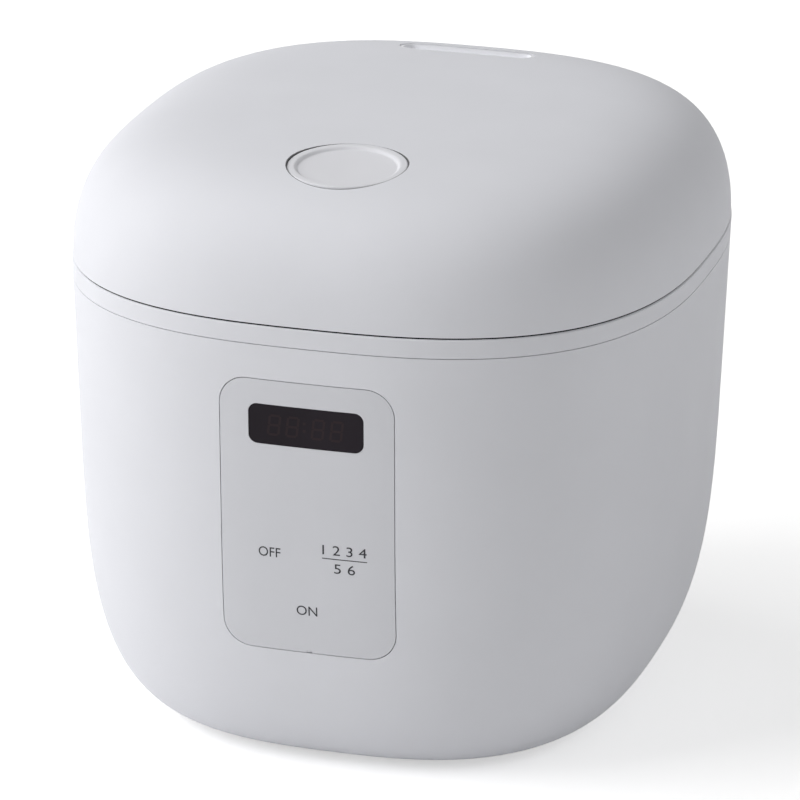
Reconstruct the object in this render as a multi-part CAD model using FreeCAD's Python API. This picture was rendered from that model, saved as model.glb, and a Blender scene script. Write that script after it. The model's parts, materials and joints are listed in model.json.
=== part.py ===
import FreeCAD
import Part
import math
import os

# Compact domed rice cooker, closed. Millimetres, +Z up, front towards -Y.
# Sizes are read from one photo; hidden parts are the usual ones of this kind of cooker.

V = FreeCAD.Vector

# Outline seen from above: a superellipse
HALF_WIDTH = 112.0
HALF_DEPTH = 122.7
PLAN_POWER = 2.72

# Side outline of body and lid
SEAM_Z = 173.0
LID_RISE = 45.07
LID_SIDE_POWER = 6.83
LID_TOP_POWER = 2.214
BODY_EDGE = 112.3
BODY_TAPER = 5.5
BODY_ROUND_HEIGHT = 130.1
BODY_ROUND_DEPTH = 39.65
BODY_SIDE_POWER = 4.323
BODY_FOOT_POWER = 2.274

# Walls and splits
WALL = 2.6
LID_WALL = 2.4
FOOT_HEIGHT = 3.0
CASING_TOP = 165.35
BAND_BOTTOM = 165.65
BAND_TOP = 172.4
LID_BASE_Z = 174.2
FLOOR_TOP = 7.6
BASE_TOP = 5.0
BASE_RECESS = 74.5
BASE_OPENING = 63.0

# Pot, liner and frame seat
POT_RADIUS = 81.0
POT_WALL = 1.8
POT_BOTTOM = 58.0
POT_CORNER = 24.0
POT_RIM = 90.5
SEAT_Z = 165.0
SEAT_RADIUS = 93.0
SEAT_HOLE = 85.2
SEAT_THICK = 2.0
LINER_RADIUS = 85.0
LINER_BOTTOM = 44.0
SHEET = 0.8

# Control panel
PANEL_HALF = 31.2
PANEL_LOW = 51.9
PANEL_HIGH = 152.8
PANEL_CORNER = 10.0
PANEL_THICK = 1.6
PANEL_GAP = 0.3
WINDOW_HALF = 20.6
WINDOW_LOW = 129.4
WINDOW_HIGH = 143.9
WINDOW_CORNER = 3.2
BOARD_FRONT = -108.6
BOARD_THICK = 1.6
KEYS = {"key_left": (-13.5, 89.2), "key_right": (13.6, 89.0), "key_start": (0.0, 68.1)}
KEY_RADIUS = 3.5

# Lid button and latch
BUTTON_Y = -73.7
BUTTON_RADIUS = 21.07
BUTTON_GAP = 0.35
BUTTON_PROUD_FRONT = 0.95
BUTTON_PROUD_BACK = 0.3
LATCH_Y = -100.0
LATCH_Z = 190.0
LATCH_PIN = 1.5
LATCH_HALF = 6.0

# Steam vent
VENT_Y = 78.5
VENT_HALF_LENGTH = 26.0
VENT_HALF_WIDTH = 5.4
VENT_FLOOR = 214.8
VENT_FLOOR_THICK = 1.4

# Hinge
HINGE_Y = 112.0
HINGE_Z = 178.0
HINGE_PIN = 2.5
BARREL = 10.0
HINGE_HALF = 60.0
ARM_INNER = 16.0
ARM_OUTER = 28.0
KNUCKLE = 7.0

# Power inlet and rear board
INLET_X = 40.0
INLET_Z = 41.0
INLET_HALF_WIDTH = 16.0
INLET_HALF_HEIGHT = 11.0
PIN_RADIUS = 2.0
PIN_SPREAD = 7.0
REAR_BOARD_Y = 100.0

SLACK = 0.3


# Side outlines as formulas

def body_half_width(z):
    down = max(0.0, min(1.0, (BODY_ROUND_HEIGHT - z) / BODY_ROUND_HEIGHT))
    curl = 1 - (1 - down ** BODY_SIDE_POWER) ** (1 / BODY_FOOT_POWER)
    return BODY_EDGE - BODY_TAPER * (1 - z / SEAM_Z) - BODY_ROUND_DEPTH * curl


def inside_half_width(z, thick):
    slope = (body_half_width(z + 0.05) - body_half_width(z - 0.05)) / 0.1
    return body_half_width(z) - thick * math.hypot(1, slope)


def plan_scale(x, y):
    return (abs(x / HALF_WIDTH) ** PLAN_POWER + abs(y / HALF_DEPTH) ** PLAN_POWER) ** (1 / PLAN_POWER)


def lid_height(x, y):
    share = plan_scale(x, y)
    return SEAM_Z + LID_RISE * (1 - share ** LID_SIDE_POWER) ** (1 / LID_TOP_POWER)


# Outline pieces in the XZ plane

def rounding(before, corner, after, radius):
    way_in = (before - corner).normalize()
    way_out = (after - corner).normalize()
    half = math.acos(max(-1.0, min(1.0, way_in.dot(way_out)))) / 2
    reach = radius / math.tan(half)
    start = corner + way_in * reach
    end = corner + way_out * reach
    inward = (way_in + way_out).normalize()
    middle = corner + inward * (radius / math.sin(half) - radius)
    return start, middle, end


def chain(corners, closed=False):
    spots = [V(c[0], 0, c[1]) for c in corners]
    radii = [c[2] if len(c) > 2 else 0 for c in corners]
    count = len(spots)
    curves = []
    at = None
    first = None
    for i in range(count):
        if radii[i]:
            start, middle, end = rounding(spots[i - 1], spots[i], spots[(i + 1) % count], radii[i])
        else:
            start = spots[i]
            middle = None
            end = spots[i]
        if at is not None and at.distanceToPoint(start) > 1e-7:
            curves.append(Part.LineSegment(at, start))
        if middle is not None:
            curves.append(Part.Arc(start, middle, end))
        if first is None:
            first = start
        at = end
    if closed:
        curves.append(Part.LineSegment(at, first))
    return curves


def loop(*corners):
    return chain(corners, True)


def smooth(points, start_way=None, end_way=None):
    curve = Part.BSplineCurve()
    if start_way is None:
        curve.interpolate(Points=points)
    else:
        curve.interpolate(Points=points, InitialTangent=start_way, FinalTangent=end_way)
    return curve


# Solids from outlines

def plan_curve():
    points = []
    for i in range(32):
        turn = 2 * math.pi * i / 32
        reach = 1 / plan_scale(math.cos(turn), math.sin(turn))
        points.append(V(reach * math.cos(turn), reach * math.sin(turn), 0))
    curve = Part.BSplineCurve()
    curve.interpolate(Points=points, PeriodicFlag=True)
    return curve


PLAN = plan_curve()


def plan_wire(half_width, z):
    curve = PLAN.copy()
    curve.scale(V(0, 0, 0), half_width / HALF_WIDTH)
    curve.translate(V(0, 0, z))
    return Part.Wire(curve.toShape())


def wall_face(curve):
    side = curve.toBSpline()
    poles = []
    weights = []
    for p in PLAN.getPoles():
        poles.append([V(p.x / HALF_WIDTH * q.x, p.y / HALF_WIDTH * q.x, q.z) for q in side.getPoles()])
        weights.append(list(side.getWeights()))
    surface = Part.BSplineSurface()
    surface.buildFromPolesMultsKnots(
        poles, PLAN.getMultiplicities(), side.getMultiplicities(), PLAN.getKnots(), side.getKnots(),
        True, False, PLAN.Degree, side.Degree, weights)
    return surface.toShape()


def swept(curves):
    faces = []
    for curve in curves:
        a = curve.value(curve.FirstParameter)
        b = curve.value(curve.LastParameter)
        if a.x < 1e-6 and b.x < 1e-6:
            continue
        flat = isinstance(curve, Part.LineSegment) and abs(a.z - b.z) < 1e-7
        if flat:
            wires = [plan_wire(x, a.z) for x in (max(a.x, b.x), min(a.x, b.x)) if x > 1e-6]
            faces.append(Part.makeFace(wires, "Part::FaceMakerBullseye"))
        else:
            faces.append(wall_face(curve))
    shell = Part.Shell(faces)
    shell.sewShape()
    solid = Part.Solid(shell)
    if solid.Volume < 0:
        solid.reverse()
    return solid


def turned(curves, centre=V(0, 0, 0), angle=360):
    wire = Part.Wire(Part.__sortEdges__([c.toShape() for c in curves]))
    solid = Part.Face(wire).revolve(V(0, 0, 0), V(0, 0, 1), angle)
    solid.translate(centre)
    return solid


def box(x0, x1, y0, y1, z0, z1):
    return Part.makeBox(x1 - x0, y1 - y0, z1 - z0, V(x0, y0, z0))


def rod(radius, start, end):
    return Part.makeCylinder(radius, start.distanceToPoint(end), start, end - start)


def tube(inner, outer, start, end):
    return rod(outer, start, end).cut(rod(inner, start, end))


def joined(shapes):
    return shapes[0].multiFuse(shapes[1:]).removeSplitter()


def upright(half_width, low, high, corner, y0, y1):
    left = -half_width
    wire = Part.Wire(Part.__sortEdges__([c.toShape() for c in loop(
        (left, low, corner), (half_width, low, corner), (half_width, high, corner), (left, high, corner))]))
    solid = Part.Face(wire).extrude(V(0, y1 - y0, 0))
    solid.translate(V(0, y0, 0))
    return solid


def stadium(half_length, half_width, z0, z1):
    reach = half_length - half_width
    ends = [rod(half_width, V(side * reach, VENT_Y, z0), V(side * reach, VENT_Y, z1)) for side in (-1, 1)]
    middle = box(-reach, reach, VENT_Y - half_width, VENT_Y + half_width, z0, z1)
    return joined([middle] + ends)


def biarc(start, way_in, end, way_out):
    gap = end - start
    both = way_in + way_out
    spread = 2 * (1 - way_in.dot(way_out))
    along = gap.dot(both)
    reach = (-along + math.sqrt(along * along + spread * gap.dot(gap))) / spread
    knee_in = start + way_in * reach
    knee_out = end - way_out * reach
    meet = (knee_in + knee_out) * 0.5
    arcs = []
    for a, knee, b in ((start, knee_in, meet), (meet, knee_out, end)):
        half = (b - a) * 0.5
        rise = knee - (a + half)
        lean = math.atan2(rise.Length, half.Length)
        arcs.append(Part.Arc(a, a + half + rise.normalize() * (half.Length * math.tan(lean / 2)), b))
    return arcs


def coil(radius, wire_radius, bottom, top, turns):
    low = bottom + wire_radius
    climb = (top - bottom - 2 * wire_radius) / (turns * 2 * math.pi)

    def spot(a):
        return V(radius * math.cos(a), radius * math.sin(a), low + climb * a)

    def way(a):
        return V(-radius * math.sin(a), radius * math.cos(a), climb).normalize()

    steps = int(turns * 4)
    arcs = []
    for i in range(steps):
        a = i * math.pi / 2
        b = a + math.pi / 2
        arcs += biarc(spot(a), way(a), spot(b), way(b))
    path = Part.Wire([arc.toShape() for arc in arcs])
    ring = Part.Wire(Part.Circle(spot(0), way(0), wire_radius).toShape())
    return path.makePipeShell([ring], True, False)


def screw(head, shank, length, at, way):
    way = way.normalize()
    top = rod(head, at, at - way * head * 0.8)
    slot = box(-head, head, -0.4, 0.4, -0.4, 0.4)
    slot.Placement = FreeCAD.Placement(at - way * head * 0.8, FreeCAD.Rotation(V(0, 0, 1), way))
    return top.cut(slot).fuse(rod(shank, at, at + way * length)).removeSplitter()


def group(shapes):
    return Part.makeCompound(shapes)


# Whole blocks used for trimming

def body_points(low, high, count):
    heights = [low + (high - low) * (i / count) ** 1.6 for i in range(count + 1)]
    return [V(body_half_width(z), 0, z) for z in heights]


def body_block(shrink=0.0):
    low = FOOT_HEIGHT + shrink
    points = [V(inside_half_width(p.z, shrink), 0, p.z) for p in body_points(low, BAND_TOP, 16)]
    return swept([smooth(points)] + chain([(points[-1].x, BAND_TOP), (0, BAND_TOP)])
                 + chain([(0, low), (points[0].x, low)]))


def lid_curve(shrink=0.0):
    points = []
    count = 16
    for i in range(count + 1):
        turn = math.pi / 2 * i / count
        share = math.cos(turn) ** (2 / LID_SIDE_POWER) if i < count else 0.0
        points.append(V(HALF_WIDTH * share, 0, SEAM_Z + LID_RISE * math.sin(turn) ** (2 / LID_TOP_POWER)))
    curve = smooth(points, V(0, 0, 1), V(-1, 0, 0))
    if not shrink:
        return curve
    moved = []
    for knot in curve.getKnots():
        way = curve.tangent(knot)[0]
        moved.append(curve.value(knot) + V(-way.z, 0, way.x) * shrink)
    moved[0] = V(HALF_WIDTH - shrink, 0, SEAM_Z)
    moved[-1] = V(0, 0, SEAM_Z + LID_RISE - shrink)
    return smooth(moved, V(0, 0, 1), V(-1, 0, 0))


def lid_block(shrink=0.0):
    return swept([lid_curve(shrink)] + chain([(0, SEAM_Z), (HALF_WIDTH - shrink, SEAM_Z)]))


BODY = body_block()
LID = lid_block()
LID_INSIDE = lid_block(LID_WALL)

# Local frame of the lid button: its rim plane leans with the lid
BUTTON_FRONT = lid_height(0, BUTTON_Y - BUTTON_RADIUS) + BUTTON_PROUD_FRONT
BUTTON_BACK = lid_height(0, BUTTON_Y + BUTTON_RADIUS) + BUTTON_PROUD_BACK
BUTTON_LEAN = math.degrees(math.atan2(BUTTON_BACK - BUTTON_FRONT, 2 * BUTTON_RADIUS))
BUTTON_TOP = (BUTTON_FRONT + BUTTON_BACK) / 2
BUTTON_PLACE = FreeCAD.Placement(V(0, BUTTON_Y, BUTTON_TOP), FreeCAD.Rotation(V(1, 0, 0), BUTTON_LEAN))


def on_button(shape):
    shape.Placement = BUTTON_PLACE.multiply(shape.Placement)
    return shape


# Spots shared by several parts
PIN_SPOTS = [INLET_X - PIN_SPREAD, INLET_X + PIN_SPREAD]
SCREW_SPOTS = [(68.5, 0), (-68.5, 0), (0, 75.0), (0, -75.0)]
FOOT_SPOTS = [(sx * 44, sy * 49) for sx in (-1, 1) for sy in (-1, 1)]
LID_SCREW_SPOTS = [(sx * 76, sy * 76) for sx in (-1, 1) for sy in (-1, 1)]
REAR_BOARD_SPOTS = [(x, z) for x in (-40, 40) for z in (76, 134)]
FRONT_BOARD_SPOTS = [(x, z) for x in (-26.2, 26.2) for z in (62, 118)]
LEG_SPOTS = [(68 * math.cos(a), 68 * math.sin(a)) for a in (math.pi / 6, math.pi * 5 / 6, math.pi * 3 / 2)]
LINER_SPOTS = [(89.5 * math.cos(a), 89.5 * math.sin(a)) for a in (0, math.pi * 2 / 3, math.pi * 4 / 3)]


# Body

def outer_casing():
    outside = body_points(FOOT_HEIGHT, CASING_TOP, 16)
    heights = [CASING_TOP - (CASING_TOP - FLOOR_TOP) * (1 - (1 - i / 16) ** 1.6) for i in range(17)]
    inside = [V(inside_half_width(z, WALL), 0, z) for z in heights]
    curves = [smooth(outside)]
    curves += chain([(outside[-1].x, CASING_TOP), (inside[0].x, CASING_TOP)])
    curves.append(smooth(inside))
    curves += chain([(inside[-1].x, FLOOR_TOP), (BASE_OPENING, FLOOR_TOP), (BASE_OPENING, BASE_TOP),
                     (BASE_RECESS, BASE_TOP), (BASE_RECESS, FOOT_HEIGHT), (outside[0].x, FOOT_HEIGHT)])
    shell = swept(curves)
    seat = upright(PANEL_HALF + 3, PANEL_LOW - 3, PANEL_HIGH + 3, PANEL_CORNER + 3, -125, -114)
    bosses = [seat]
    for x, z in FRONT_BOARD_SPOTS:
        bosses.append(rod(3.2, V(x, BOARD_FRONT, z), V(x, -119, z)))
    for x, z in REAR_BOARD_SPOTS:
        bosses.append(rod(4.0, V(x, REAR_BOARD_Y + BOARD_THICK, z), V(x, 122, z)))
    for x, y in SCREW_SPOTS:
        bosses.append(rod(4.0, V(x, y, BASE_TOP), V(x, y, 14)))
    extra = joined(bosses).common(body_block(WALL / 2))
    shell = shell.fuse(extra)
    tools = [panel_outline(PANEL_GAP, -130, 0).cut(body_block(PANEL_THICK + 0.1))]
    tools.append(upright(WINDOW_HALF + 2, PANEL_LOW + 6, PANEL_HIGH - 6, PANEL_CORNER - 6, -124, -112))
    tools.append(inlet_outline(0.2, 96, 125))
    for x, y in SCREW_SPOTS:
        tools.append(rod(1.6, V(x, y, 0), V(x, y, 12)))
    for x, z in FRONT_BOARD_SPOTS:
        tools.append(rod(1.2, V(x, BOARD_FRONT, z), V(x, BOARD_FRONT - 6, z)))
    for x, z in REAR_BOARD_SPOTS:
        tools.append(rod(1.2, V(x, REAR_BOARD_Y, z), V(x, REAR_BOARD_Y + 9, z)))
    return shell.cut(tools)


def upper_frame():
    wall_in = inside_half_width(CASING_TOP, WALL) - 0.25
    low = body_half_width(BAND_BOTTOM)
    top = body_half_width(BAND_TOP)
    curves = chain([(wall_in, BAND_BOTTOM), (low, BAND_BOTTOM), (top, BAND_TOP, 0.8), (0, BAND_TOP)])
    curves += chain([(0, BAND_TOP - 2.4), (wall_in - 2.2, BAND_TOP - 2.4), (wall_in - 2.2, 158),
                     (wall_in, 158), (wall_in, BAND_BOTTOM)])
    frame = swept(curves)
    frame = frame.cut(rod(SEAT_RADIUS, V(0, 0, 160), V(0, 0, 175)))
    seat = turned(loop((SEAT_HOLE, SEAT_Z - SEAT_THICK), (SEAT_RADIUS + 2.2, SEAT_Z - SEAT_THICK),
                       (SEAT_RADIUS + 2.2, BAND_TOP), (SEAT_RADIUS, BAND_TOP),
                       (SEAT_RADIUS, SEAT_Z, 1.0), (SEAT_HOLE, SEAT_Z)))
    block = rod(BARREL, V(-HINGE_HALF, HINGE_Y, HINGE_Z), V(HINGE_HALF, HINGE_Y, HINGE_Z))
    block = block.fuse(box(-HINGE_HALF, HINGE_HALF, 104, 126, BAND_TOP - 2.4, HINGE_Z))
    fence = swept(loop((0, 160), (HALF_WIDTH - 0.4, 160), (HALF_WIDTH - 0.4, 195), (0, 195)))
    frame = joined([frame, seat, block.common(fence)])
    tools = [box(-9, 9, LATCH_Y - 12, LATCH_Y - 1.5, 165, 175)]
    for side in (-1, 1):
        ends = sorted((side * (ARM_INNER - 0.5), side * (ARM_OUTER + 0.5)))
        tools.append(rod(KNUCKLE + 0.7, V(ends[0], HINGE_Y, HINGE_Z), V(ends[1], HINGE_Y, HINGE_Z)))
        tools.append(box(ends[0], ends[1], 95, HINGE_Y, HINGE_Z - 5.2, 195))
        tools.append(box(ends[0], ends[1], 95, HINGE_Y + KNUCKLE + 0.7, HINGE_Z, 195))
    tools.append(rod(HINGE_PIN, V(-44, HINGE_Y, HINGE_Z), V(44, HINGE_Y, HINGE_Z)))
    for x, y in LINER_SPOTS:
        tools.append(rod(1.2, V(x, y, 160), V(x, y, SEAT_Z - 0.4)))
    return frame.cut(tools)


def base_plate():
    plate = swept(loop((0, FOOT_HEIGHT), (BASE_RECESS - SLACK, FOOT_HEIGHT), (BASE_RECESS - SLACK, BASE_TOP),
                       (0, BASE_TOP)))
    tools = [rod(1.7, V(x, y, 0), V(x, y, 9)) for x, y in SCREW_SPOTS]
    tools += [rod(3.4, V(x, y, 0), V(x, y, FOOT_HEIGHT + 0.9)) for x, y in SCREW_SPOTS]
    tools += [rod(3.0, V(x, y, 0), V(x, y, 9)) for x, y in FOOT_SPOTS]
    for row in range(-3, 4):
        tools.append(box(-22, 22, row * 9 - 1.5, row * 9 + 1.5, 0, 9))
    return plate.cut(tools)


def base_screws():
    return group([screw(2.8, 1.6, 8.0, V(x, y, FOOT_HEIGHT + 0.9), V(0, 0, 1)) for x, y in SCREW_SPOTS])


def rubber_feet():
    feet = []
    for x, y in FOOT_SPOTS:
        outline = loop((0, 0), (8.0, 0, 0.6), (9.0, FOOT_HEIGHT), (3.0, FOOT_HEIGHT), (3.0, BASE_TOP),
                       (4.2, BASE_TOP), (3.0, BASE_TOP + 1.6), (0, BASE_TOP + 1.6))
        feet.append(turned(outline, V(x, y, 0)))
    return group(feet)


def panel_outline(grow, y0, y1):
    return upright(PANEL_HALF + grow, PANEL_LOW - grow, PANEL_HIGH + grow, PANEL_CORNER + grow, y0, y1)


def window_outline(grow, y0, y1):
    return upright(WINDOW_HALF + grow, WINDOW_LOW - grow, WINDOW_HIGH + grow, WINDOW_CORNER + grow, y0, y1)


def panel_skin():
    return BODY.cut(body_block(PANEL_THICK))


def control_panel():
    plate = panel_outline(0, -130, 0).common(panel_skin())
    notch = rod(1.0, V(0, -130, PANEL_LOW), V(0, -110, PANEL_LOW))
    return plate.cut([window_outline(0.1, -130, -100), notch])


def display_window():
    return window_outline(0, -130, 0).common(panel_skin())


def inlet_outline(grow, y0, y1):
    solid = upright(INLET_HALF_WIDTH + grow, INLET_Z - INLET_HALF_HEIGHT - grow,
                    INLET_Z + INLET_HALF_HEIGHT + grow, 4 + grow, y0, y1)
    solid.translate(V(INLET_X, 0, 0))
    return solid


def power_inlet():
    body = inlet_outline(0, 88, 125).common(BODY)
    cavity = inlet_outline(-2.0, 92, 126)
    pins = [rod(PIN_RADIUS, V(x, 85, INLET_Z), V(x, 95, INLET_Z)) for x in PIN_SPOTS]
    return body.cut([cavity] + pins)


def inlet_pins():
    pins = []
    for x in PIN_SPOTS:
        pin = rod(PIN_RADIUS, V(x, 85, INLET_Z), V(x, 104, INLET_Z))
        pins.append(pin.fuse(Part.makeSphere(PIN_RADIUS, V(x, 104, INLET_Z))).removeSplitter())
    return group(pins)


# Cooking parts

def pot_liner():
    out = LINER_RADIUS + SHEET
    top = SEAT_Z - SEAT_THICK
    shell = turned(loop((62, LINER_BOTTOM), (out, LINER_BOTTOM, 3.8), (out, top - SHEET, 0.6),
                        (92, top - SHEET), (92, top), (LINER_RADIUS, top, 1.4),
                        (LINER_RADIUS, LINER_BOTTOM + SHEET, 3.0), (62, LINER_BOTTOM + SHEET)))
    tools = [rod(1.5, V(x, y, 40), V(x, y, 50)) for x, y in LEG_SPOTS]
    tools += [rod(1.2, V(x, y, 158), V(x, y, 165)) for x, y in LINER_SPOTS]
    return shell.cut(tools)


def liner_screws():
    top = SEAT_Z - SEAT_THICK
    return group([screw(2.2, 1.2, 2.3, V(x, y, top - SHEET), V(0, 0, 1)) for x, y in LINER_SPOTS])


def inner_pot():
    out = POT_RADIUS + POT_WALL
    return turned(loop((0, POT_BOTTOM), (out, POT_BOTTOM, POT_CORNER + POT_WALL), (out, SEAT_Z, 2.0),
                       (POT_RIM, SEAT_Z, 0.75), (POT_RIM, SEAT_Z + 1.6, 0.75),
                       (POT_RADIUS, SEAT_Z + 1.6, 3.4), (POT_RADIUS, POT_BOTTOM + 2, POT_CORNER),
                       (0, POT_BOTTOM + 2)))


def heater_plate():
    flat = POT_RADIUS - POT_CORNER
    lift = POT_CORNER + POT_WALL + 0.4
    centre_z = POT_BOTTOM + POT_CORNER + POT_WALL
    edge = 71.0
    rise = math.asin((edge - flat) / lift)
    half = rise / 2
    start = V(flat, 0, centre_z - lift)
    middle = V(flat + lift * math.sin(half), 0, centre_z - lift * math.cos(half))
    end = V(edge, 0, centre_z - lift * math.cos(rise))
    curves = [Part.Arc(start, middle, end)]
    curves += chain([(edge, end.z), (edge + 2, end.z), (edge + 2, 50, 2.0), (17, 50), (17, start.z),
                     (start.x, start.z)])
    plate = turned(curves)
    legs = [rod(4.5, V(x, y, LINER_BOTTOM + SHEET), V(x, y, 52)) for x, y in LEG_SPOTS]
    plate = joined([plate] + legs)
    tools = [rod(1.5, V(x, y, 40), V(x, y, 50)) for x, y in LEG_SPOTS]
    return plate.cut(tools + [heater_element()])


def heater_element():
    ring = turned([Part.Circle(V(46, 0, 49.5), V(0, 1, 0), 4.0)], angle=320)
    ring.rotate(V(0, 0, 0), V(0, 0, 1), 110)
    ends = []
    for a in (70, 110):
        x = 46 * math.cos(math.radians(a))
        y = 46 * math.sin(math.radians(a))
        ends.append(Part.makeSphere(4.0, V(x, y, 49.5)))
        ends.append(rod(2.6, V(x, y, 32), V(x, y, 49.5)))
    return joined([ring] + ends)


def heater_screws():
    return group([screw(2.8, 1.5, 5.6, V(x, y, LINER_BOTTOM), V(0, 0, 1)) for x, y in LEG_SPOTS])


def sensor_cap():
    return turned(loop((0, 56.6), (13.8, 56.6, 0.6), (13.8, 45), (16, 45), (16, 46.2), (15, 46.2),
                       (15, 57.6, 1.2), (0, 57.6)))


def thermistor():
    return joined([rod(3.0, V(0, 0, 53.6), V(0, 0, 56.6)), rod(1.2, V(0, 0, 49.5), V(0, 0, 53.6))])


def sensor_guide():
    return turned(loop((3, 31), (19, 31, 1.0), (19, 48.6), (29, 48.6), (29, 50), (18, 50), (18, 32), (3, 32)))


def sensor_spring():
    return coil(9.5, 0.6, 32.05, 56.2, 5)


def thermal_fuse():
    body = rod(2.2, V(-9, -60, 47.6), V(9, -60, 47.6))
    leads = rod(0.6, V(-22, -60, 47.6), V(22, -60, 47.6))
    clip = box(-3, 3, -63, -57, 44.9, 45.4)
    return joined([body, leads, clip, box(-3, 3, -60.4, -59.6, 45.0, 47.0)])


# Control electronics

def control_board():
    plate = box(-29, 29, BOARD_FRONT, BOARD_FRONT + BOARD_THICK, 53, 151)
    return plate.cut([rod(1.3, V(x, -115, z), V(x, -100, z)) for x, z in FRONT_BOARD_SPOTS])


def control_board_screws():
    back = BOARD_FRONT + BOARD_THICK
    return group([screw(2.2, 1.2, 6.5, V(x, back, z), V(0, -1, 0)) for x, z in FRONT_BOARD_SPOTS])


def led_display():
    low = WINDOW_LOW - 0.5
    high = WINDOW_HIGH + 0.5
    return upright(WINDOW_HALF + 1.5, low, high, 1.0, -117.5, BOARD_FRONT)


def key_switches():
    switches = []
    for x, z in KEYS.values():
        body = box(x - 3, x + 3, BOARD_FRONT - 3.5, BOARD_FRONT, z - 3, z + 3)
        stem = rod(1.7, V(x, BOARD_FRONT - 3.5, z), V(x, BOARD_FRONT - 4.3, z))
        switches.append(body.fuse(stem).removeSplitter())
    return group(switches)


def key_frame():
    plate = upright(WINDOW_HALF + 1.4, 63, 98, 4, -115.2, -113.7)
    posts = [rod(1.8, V(x, -114.0, 66), V(x, BOARD_FRONT, 66)) for x in (-18, 18)]
    posts += [rod(1.8, V(x, -114.0, 95), V(x, BOARD_FRONT, 95)) for x in (-18, 18)]
    holes = [rod(KEY_RADIUS + 0.35, V(x, -120, z), V(x, -112, z)) for x, z in KEYS.values()]
    return joined([plate] + posts).cut(holes)


def key(name):
    x, z = KEYS[name]
    front = -HALF_DEPTH * body_half_width(z - KEY_RADIUS) / HALF_WIDTH + PANEL_THICK + 1.0
    back = BOARD_FRONT - 4.9
    return rod(KEY_RADIUS, V(x, front, z), V(x, back, z))


# Power electronics

def power_board():
    plate = box(-46, 46, REAR_BOARD_Y, REAR_BOARD_Y + BOARD_THICK, 70, 140)
    return plate.cut([rod(1.3, V(x, 90, z), V(x, 110, z)) for x, z in REAR_BOARD_SPOTS])


def power_board_screws():
    return group([screw(2.2, 1.2, 8.0, V(x, REAR_BOARD_Y, z), V(0, 1, 0)) for x, z in REAR_BOARD_SPOTS])


def relay():
    low = REAR_BOARD_Y + BOARD_THICK
    case = box(-32, -14, low, low + 10, 112, 126)
    return case.makeFillet(0.8, case.Edges)


def transformer():
    low = REAR_BOARD_Y + BOARD_THICK
    core = box(-6, 26, low + 2, low + 11, 84, 108)
    bobbin = box(0, 20, low, low + 12.4, 80, 112).cut(core)
    return joined([core, bobbin])


def capacitor():
    low = REAR_BOARD_Y + BOARD_THICK
    return rod(5.0, V(-24, low, 92), V(-24, low + 11, 92))


def leads(paths, radius):
    wires = []
    for points in paths:
        shapes = []
        for i in range(len(points) - 1):
            a = V(*points[i])
            b = V(*points[i + 1])
            shapes.append(rod(radius, a, b))
            if i:
                shapes.append(Part.makeSphere(radius, a))
        wires.append(joined(shapes))
    return group(wires)


def mains_leads():
    paths = []
    for side in (-1, 1):
        x = INLET_X + side * PIN_SPREAD
        paths.append([(x, 85, INLET_Z), (x, 83, INLET_Z), (x, 83, 62), (30 + side * 4, 96, 74),
                      (30 + side * 4, REAR_BOARD_Y, 74)])
    return leads(paths, 1.1)


def heater_leads():
    paths = []
    for side in (-1, 1):
        x = 46 * math.cos(math.radians(90 - side * 20))
        y = 46 * math.sin(math.radians(90 - side * 20))
        paths.append([(x, y, 32), (x, y, 26), (side * 10 - 20, 88, 26), (side * 10 - 20, 96, 78),
                      (side * 10 - 20, REAR_BOARD_Y, 78)])
    return leads(paths, 1.1)


def ribbon_cable():
    strip = turned(loop((92.0, 70), (92.6, 70), (92.6, 82), (92.0, 82)), angle=140)
    strip.rotate(V(0, 0, 0), V(0, 0, 1), 110)
    return strip


# Lid

def lid_cover():
    inside = lid_curve(LID_WALL)
    shell = LID.cut(swept([inside] + chain([(0, SEAM_Z), (HALF_WIDTH - LID_WALL, SEAM_Z)])))
    collar = on_button(tube(BUTTON_RADIUS + BUTTON_GAP, BUTTON_RADIUS + 2.4, V(0, 0, -6.8), V(0, 0, 4)))
    rim = stadium(VENT_HALF_LENGTH + 1.6, VENT_HALF_WIDTH + 1.6, 207, 225)
    bosses = [rod(3.6, V(x, y, 178), V(x, y, 225)) for x, y in LID_SCREW_SPOTS]
    extra = joined([collar, rim] + bosses).common(lid_block(LID_WALL / 2))
    shell = shell.fuse(extra)
    tools = [on_button(rod(BUTTON_RADIUS + BUTTON_GAP, V(0, 0, -30), V(0, 0, 10)))]
    tools.append(stadium(VENT_HALF_LENGTH, VENT_HALF_WIDTH, 200, 225))
    tools.append(box(-HINGE_HALF - 0.5, HINGE_HALF + 0.5, HINGE_Y - 10.6, 130, 160, HINGE_Z + 12))
    tools += [rod(1.2, V(x, y, 170), V(x, y, 190)) for x, y in LID_SCREW_SPOTS]
    return shell.cut(tools)


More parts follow.
